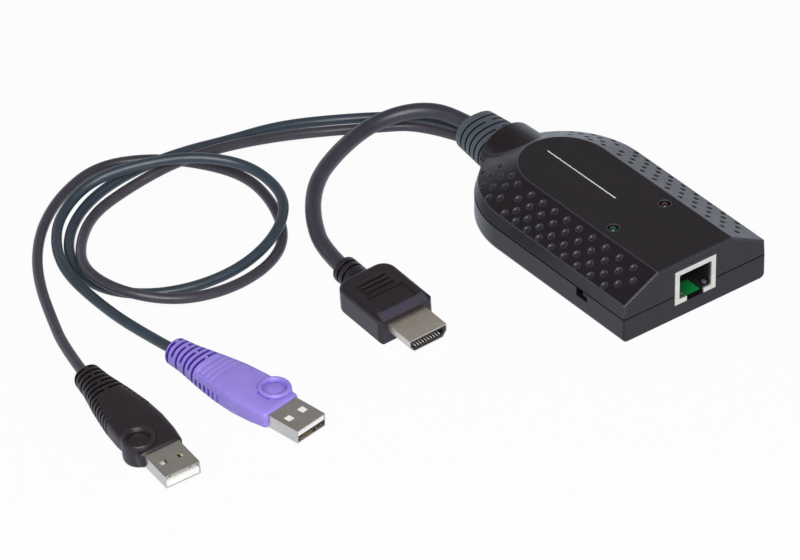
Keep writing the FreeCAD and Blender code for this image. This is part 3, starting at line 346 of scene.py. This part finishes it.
def bar(mesh, place, low, high, bevel_mm):
    """A bar with eased edges between two corners, mm in place's axes."""
    made = bmesh.ops.create_cube(mesh, size=1.0)["verts"]
    centre = (Vector(low) + Vector(high)) / 2 * MM
    size = [(b - a) * MM for a, b in zip(low, high)]
    bmesh.ops.scale(mesh, vec=size, verts=made)
    edges = {edge for vert in made for edge in vert.link_edges}
    made = bmesh.ops.bevel(mesh, geom=list(edges), offset=bevel_mm * MM, segments=2, profile=0.5,
                           affect="EDGES", material=-1)["verts"]
    bmesh.ops.transform(mesh, matrix=place @ Matrix.Translation(centre), verts=made)


def plug_axes(mount_name, roll):
    """Axes at the middle of a plug's mouth: X out of the mouth, Z up through the plug."""
    mount = next(m for m in frame["record"]["mounts"] if m["name"] == mount_name)
    ahead = Vector(mount["axis"])
    return (Matrix.Translation(Vector(mount["pos_m"]))
            @ Matrix.Rotation(math.atan2(ahead.y, ahead.x), 4, "Z")
            @ Matrix.Rotation(math.radians(roll), 4, "X"))


# Printed line along the panel.
laid_on("panel_line", "top_cover", Matrix.Identity(4), (0.08, 0.52), (-15.8, 18.3), (1, 24),
        ink)

# The video plug's sloping front shoulder: a thin sheet over the grip, painted lighter for the
# light it catches.
video_axes = plug_axes("video_plug", 3.0)
video_shoulder = laid_on("video_plug_shoulder", "video_plug_grip", video_axes,
                         (-14.8, -11.35), (-8.5, 8.5), (10, 24),
                         shoulder_painted_lighter, 0.12)

# Spring contacts of the video plug: flat strips that reach nearly to the mouth.
CONTACTS, CONTACT_PITCH = 10, 1.0
mesh = bmesh.new()
for i in range(CONTACTS):
    side = CONTACT_PITCH * (i - (CONTACTS - 1) / 2)
    bar(mesh, video_axes, (-7.8, side - 0.2, -1.05), (-0.35, side + 0.2, -0.7), 0.08)
video_row = piece_from("video_contact_row", mesh, gold_painted_pale)
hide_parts("video_plug_contacts")

# ---- data plug grips --------------------------------------------------------
# All in mm, x from the tail of the solid to its front.
GRIP_L, SLEEVE_L = 47.0, 12.1
GRIP_FORM = [                    # x, half width, half thickness, squareness
    (0, 4.2, 4.0, 2.2), (8, 5.0, 4.15, 2.4), (16.9, 6.7, 4.15, 3.0), (25.9, 7.9, 4.0, 4.2),
    (33.8, 8.35, 3.75, 4.8), (40.9, 8.1, 3.4, 4.8), (47, 7.3, 3.0, 4.8)]
TAIL, TAIL_ROUND, NOSE_ROUND = 1.2, 1.2, 1.0   # where the overmould starts, and its end rounds
STEP_FIRST, STEP = 2.4, 2.05     # slots, ribs and grooves share one pitch
SLOTS, RIBS_END, STEPS = 7, 11, 13   # steps with slots, then soft ribs, then side grooves only
SLOT_W, SLOT_DEEP, SLOT_WALL = 0.9, 1.5, 0.1
TOP_BRIDGE, SIDE_BRIDGE = (0.3, 0.7), 1.6   # solid bars left across every other slot
RIB_DEEP, RIB_FADE = 0.36, 0.05
GROOVE_DEEP, GROOVE_FADE, GROOVE_IN = 0.8, 0.1, 1.8
BOSS, DISH_R, DISH_DEEP = (40.1, 3.9), 4.6, 0.55
BOSS_FORM = [                    # radius and height of the dished top, with its rim
    (0, 3.75), (1.4, 3.66), (2.4, 3.4), (3.1, 3.05), (3.5, 3.05), (3.75, 3.35), (3.95, 3.95),
    (4.25, 4.15), (4.75, 4.1), (5.1, 3.8), (5.3, 3.3), (5.4, 2.4), (5.4, 0)]
# Cuts across the grip: close together at the walls of the slots and round the boss.
STATIONS = [TAIL, 1.35, 1.6, 2.0]
for i in range(STEPS):
    STATIONS += [STEP_FIRST + STEP * i + across for across in (-0.02, 0.1, 0.8, 0.92, 1.45)]
STATIONS += [29.6 + 0.6 * i for i in range(27)] + [46.0, 46.4, 46.8, GRIP_L]


def eased(x, table):
    """Values of the table at x, on straight lines between its rows."""
    for low, high in zip(table, table[1:]):
        if x <= high[0]:
            share = (x - low[0]) / (high[0] - low[0])
            return [a + (b - a) * share for a, b in zip(low[1:], high[1:])]
    return table[-1][1:]


def carved(x, y, z, half, over_top):
    """How deep the relief slots, soft ribs, side grooves and the boss's dish go at a point."""
    if z > 0 and math.hypot(x - BOSS[0], y - BOSS[1]) < DISH_R:
        return DISH_DEEP
    number, across = divmod(x - STEP_FIRST, STEP)
    if number < 0 or number >= STEPS:
        return 0.0
    wall = min(1.0, max(0.0, min(across, SLOT_W - across) / SLOT_WALL))
    if number < SLOTS:
        bridged = (abs(z) < SIDE_BRIDGE if number % 2
                   else abs(y - TOP_BRIDGE[0]) < TOP_BRIDGE[1])
        return 0.0 if bridged else SLOT_DEEP * wall
    past = number - SLOTS
    if over_top and number < RIBS_END and z > 0 and abs(y) < half - 1.0:
        return (RIB_DEEP - RIB_FADE * past) * (1 - abs(2 * across / STEP - 1) ** 3)
    if abs(y) > half - GROOVE_IN and (z < 0.2 or not over_top):
        return (GROOVE_DEEP - GROOVE_FADE * past) * wall
    return 0.0


def data_grip(name, node, axes, flip, over_top, finish):
    """Overmould lofted from a round tail to a flat square front, with slots and a dished boss."""
    mesh = bmesh.new()
    profile = BOSS_FORM + [(r, -z) for r, z in reversed(BOSS_FORM[:-1])]
    ring = [mesh.verts.new((r * MM, 0, z * MM)) for r, z in profile]
    lines = [mesh.edges.new(pair) for pair in zip(ring, ring[1:])]
    bmesh.ops.spin(mesh, geom=ring + lines, cent=(0, 0, 0), axis=(0, 0, 1), dvec=(0, 0, 0),
                   angle=math.tau, steps=48, use_merge=True)
    bmesh.ops.transform(mesh, verts=mesh.verts, matrix=axes @ Matrix.Translation(
        Vector((BOSS[0] - GRIP_L - SLEEVE_L, BOSS[1] * flip, 0)) * MM))
    cuts = len(STATIONS) - 1
    skin = bmesh.ops.create_grid(mesh, x_segments=cuts, y_segments=120, size=0.5)
    for vert in skin["verts"]:
        x = STATIONS[round((vert.co.x + 0.5) * cuts)]
        turn = (vert.co.y + 0.5) * math.tau
        half, thick, square = eased(x, GRIP_FORM)
        tail = max(0.0, TAIL + TAIL_ROUND - x) / TAIL_ROUND
        nose = max(0.0, x - GRIP_L + NOSE_ROUND) / NOSE_ROUND
        trim = (TAIL_ROUND * (1 - math.sqrt(1 - tail ** 2))
                + NOSE_ROUND * (1 - math.sqrt(1 - nose ** 2)))
        half, thick = half - trim, thick - trim
        y = half * math.copysign(abs(math.cos(turn)) ** (2 / square), math.cos(turn))
        z = thick * math.copysign(abs(math.sin(turn)) ** (2 / square), math.sin(turn))
        out = Vector((0, math.copysign(abs(y / half) ** (square - 1) / half, y),
                      math.copysign(abs(z / thick) ** (square - 1) / thick, z))).normalized()
        spot = Vector((x, y, z)) - out * carved(x, y * flip, z, half, over_top)
        vert.co = axes @ ((spot - Vector((GRIP_L + SLEEVE_L, 0, 0))) * MM)
    bmesh.ops.remove_doubles(mesh, verts=mesh.verts, dist=0.002 * MM)
    bmesh.ops.holes_fill(mesh, edges=[edge for edge in mesh.edges if edge.is_boundary], sides=0)
    piece = piece_from(name, mesh, finish)
    piece.data.set_sharp_from_angle(angle=math.radians(40))
    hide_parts(node)
    return piece


# The violet plug lies flat with its boss to the left of its axis; the black one is rolled
# 4 degrees, with its boss to the right and no ribs over the top.
violet_grip = data_grip("violet_grip_form", "violet_plug_grip",
                        plug_axes("violet_data_plug", 0.0), 1, True,
                        violet_pvc)
black_grip = data_grip("black_grip_form", "black_plug_grip",
                       plug_axes("black_data_plug", 4.0), -1, False,
                       black_pvc)

# Shoulders of the network jack's latch, just behind its frame, in nylon painted lit grey.
mesh = bmesh.new()
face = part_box("jack_shield")[0][1] / MM
for side in (-1, 1):
    low, high = sorted((4.1 * side, 5.3 * side))
    bar(mesh, Matrix.Identity(4), (low, face + 1.0, 7.6), (high, face + 2.4, 8.5), 0.15)
piece_from("jack_latch_shoulders", mesh, nylon_painted_lit)


# ---- cords ------------------------------------------------------------------
# Routes in mm, y from the plane of the boot's three mouths, z from the table.
EXIT_Y = 0.05545
VIDEO_ROUTE = [(-2.2, 0, 8.8), (-4.7, 7.5, 9.9), (-9.3, 14, 9.7), (-15.8, 18.6, 8.5),
               (-23.7, 20.7, 7.1), (-32, 20, 6.1), (-43.5, 15.3, 6.5), (-54.7, 9.1, 6.5),
               (-63.3, 0.8, 5.9), (-70.1, -9.4, 5.3), (-75, -20.7, 5), (-76.4, -33.1, 5.35)]
VIOLET_ROUTE = [(1.9, 0, 3), (-1.8, 16.5, 2.2), (-14.6, 27.5, 1.8), (-30.4, 37.3, 1.8),
                (-46.5, 43.1, 3.1), (-63.3, 45, 4.1), (-80.1, 46.3, 6.4), (-97.1, 48.8, 5.5),
                (-113.5, 48.2, 3), (-127.6, 40.9, 1.8), (-138, 27.6, 1.8), (-140.6, 10.9, 1.8),
                (-131, -3.4, 2.2), (-114.4, -10, 2.1), (-96.6, -11.2, 3.6), (-80.4, -6.1, 6.8),
                (-69.1, 7.1, 7.1), (-69.7, 24.4, 8.9), (-81.6, 36.1, 11.1), (-97.5, 43.4, 11.3),
                (-112.9, 50.9, 7.1), (-127.9, 46.7, 2.6), (-138.3, 34, 2.5),
                (-144.5, 18.4, 3.8), (-144.5, 1.5, 2.8), (-143.6, -15.7, 3.2),
                (-141.3, -34.7, 4.8)]
BLACK_ROUTE = [(-2.6, 0, 3), (-8.1, 16.1, 2.3), (-22.4, 25.6, 1.8), (-38, 33.8, 2.4),
               (-54.4, 38.5, 4.5), (-71.1, 40.8, 6.7), (-87.5, 42.2, 7.3), (-104.1, 43.1, 4.4),
               (-118.8, 40.9, 2.7), (-131.4, 30.2, 3.7), (-140.6, 15.7, 6),
               (-139.6, -0.7, 6.8), (-127.5, -13.5, 4.6), (-110.5, -17.5, 2.8),
               (-92.7, -15.4, 2.4), (-78.9, -6.3, 1.8), (-70.7, 10.6, 1.8), (-68.7, 27.8, 2.1),
               (-75.8, 43.1, 1.8), (-87.6, 55.4, 1.9), (-103.3, 61.5, 2.2), (-119.8, 56.6, 1.8),
               (-133.9, 47, 1.8), (-145.1, 34.5, 1.8), (-153.4, 20.2, 1.8), (-159.7, 4.9, 2),
               (-166, -10.7, 3.4), (-170.5, -29.2, 5.5)]


def lay_cord(name, route, diameter_mm, length, jacket, *plug):
    """One open smooth spline with the route as its control points, as thick as the cord."""
    points = [Vector((x * MM, EXIT_Y + y * MM, z * MM)) for x, y, z in route]
    curve = bpy.data.curves.new(name, "CURVE")
    curve.dimensions = "3D"
    spline = curve.splines.new("NURBS")
    spline.points.add(len(points) - 1)
    for control, point in zip(spline.points, points):
        control.co = (*point, 1.0)
    spline.order_u = 3
    spline.use_endpoint_u = True
    spline.resolution_u = 10      # pieces of the line between two points
    curve.bevel_depth = diameter_mm * MM / 2
    curve.bevel_resolution = 6
    curve.use_fill_caps = True
    piece = bpy.data.objects.new(name + "_run", curve)
    bpy.context.scene.collection.objects.link(piece)
    curve.materials.append(jacket)
    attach(piece, "adapter")
    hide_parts(name)
    return piece


lay_cord("video_cord", VIDEO_ROUTE, 5.2, 0.115, thick_jacket,
         "video_plug_grip", "video_plug_sleeve", "video_plug_insert", video_shoulder, video_row)
lay_cord("violet_plug_cord", VIOLET_ROUTE, 3.4, 0.437, blue_jacket,
         violet_grip, "violet_plug_sleeve", "violet_plug_tongue", "violet_plug_contacts")
lay_cord("black_plug_cord", BLACK_ROUTE, 3.4, 0.453, plum_jacket,
         black_grip, "black_plug_sleeve", "black_plug_tongue", "black_plug_contacts")


# ---- studio -----------------------------------------------------------------
WHITE_SHARE = 0.95               # the rest of the paper's look is its own lit tone, for shadows


def soft_box(name, place, aim, size, power):
    """One large area light; place, aim and size in metres, power in watts."""
    data = bpy.data.lights.new(name, "AREA")
    data.shape = "RECTANGLE"
    data.size, data.size_y = size
    data.energy = power
    light = bpy.data.objects.new(name, data)
    bpy.context.scene.collection.objects.link(light)
    light.location = place
    light.rotation_euler = (Vector(place) - Vector(aim)).to_track_quat("Z", "Y").to_euler()


def paper_sweep():
    """Pale paper on the table: plain white to the eye and in the metal, with the soft shadow."""
    grid = bmesh.new()
    bmesh.ops.create_grid(grid, x_segments=4, y_segments=4, size=4.0)
    mesh = bpy.data.meshes.new("floor")
    grid.to_mesh(mesh)
    grid.free()
    piece = bpy.data.objects.new("floor", mesh)
    bpy.context.scene.collection.objects.link(piece)
    material, tree, shader, _ = new_material("plain white paper sweep")
    shader.inputs["Base Color"].default_value = (0.62, 0.62, 0.62, 1)
    shader.inputs["Roughness"].default_value = 0.9
    shader.inputs["Specular IOR Level"].default_value = 0.0
    seen = add(tree, "ShaderNodeLightPath").outputs
    ray = add(tree, "ShaderNodeMath", {0: seen["Is Camera Ray"], 1: seen["Is Glossy Ray"]},
              operation="MAXIMUM").outputs[0]
    share = add(tree, "ShaderNodeMath", {0: ray, 1: WHITE_SHARE}, operation="MULTIPLY").outputs[0]
    tone = add(tree, "ShaderNodeMix", {0: seen["Is Camera Ray"], 6: srgb("#e6eefb"),
                                       7: grey(1.0)}, data_type="RGBA").outputs[2]
    white = add(tree, "ShaderNodeEmission", {"Color": tone, "Strength": 1.0})
    both = add(tree, "ShaderNodeMixShader",
               {0: share, 1: shader.outputs["BSDF"], 2: white.outputs["Emission"]})
    tree.links.new(both.outputs["Shader"], tree.nodes["Material Output"].inputs["Surface"])
    mesh.materials.append(material)


def tent():
    """Daylight tent: white near the horizon, dim overhead, plain white behind the object."""
    world = bpy.data.worlds.new("daylight tent")
    bpy.context.scene.world = world
    world.use_nodes = True
    tree = world.node_tree
    where = add(tree, "ShaderNodeTexCoord").outputs["Generated"]
    height = add(tree, "ShaderNodeSeparateXYZ", {"Vector": where}).outputs["Z"]
    glow = add(tree, "ShaderNodeValToRGB", {"Fac": height},
               stops=[(0.0, srgb("#f4f8ff")), (0.2, srgb("#e8eefa")), (0.42, grey(0.27)),
                      (1.0, grey(0.3))]).outputs["Color"]
    seen = add(tree, "ShaderNodeLightPath").outputs
    fill = tree.nodes["Background"]
    tree.links.new(glow, fill.inputs["Color"])
    fill.inputs["Strength"].default_value = 0.75
    mirrored = add(tree, "ShaderNodeBackground", {"Color": glow, "Strength": 1.0})
    light = add(tree, "ShaderNodeMixShader", {0: seen["Is Glossy Ray"], 1: fill.outputs[0],
                                              2: mirrored.outputs[0]})
    plain = add(tree, "ShaderNodeBackground", {"Color": (1, 1, 1, 1), "Strength": 1.0})
    both = add(tree, "ShaderNodeMixShader", {0: seen["Is Camera Ray"], 1: light.outputs[0],
                                             2: plain.outputs[0]})
    tree.links.new(both.outputs["Shader"], tree.nodes["World Output"].inputs["Surface"])


soft_box("front soft box", (-0.6, -0.8, 0.95), (-0.05, 0, 0), (1.0, 0.9), 21.5)
paper_sweep()
tent()
bpy.context.scene.view_settings.view_transform = "Standard"
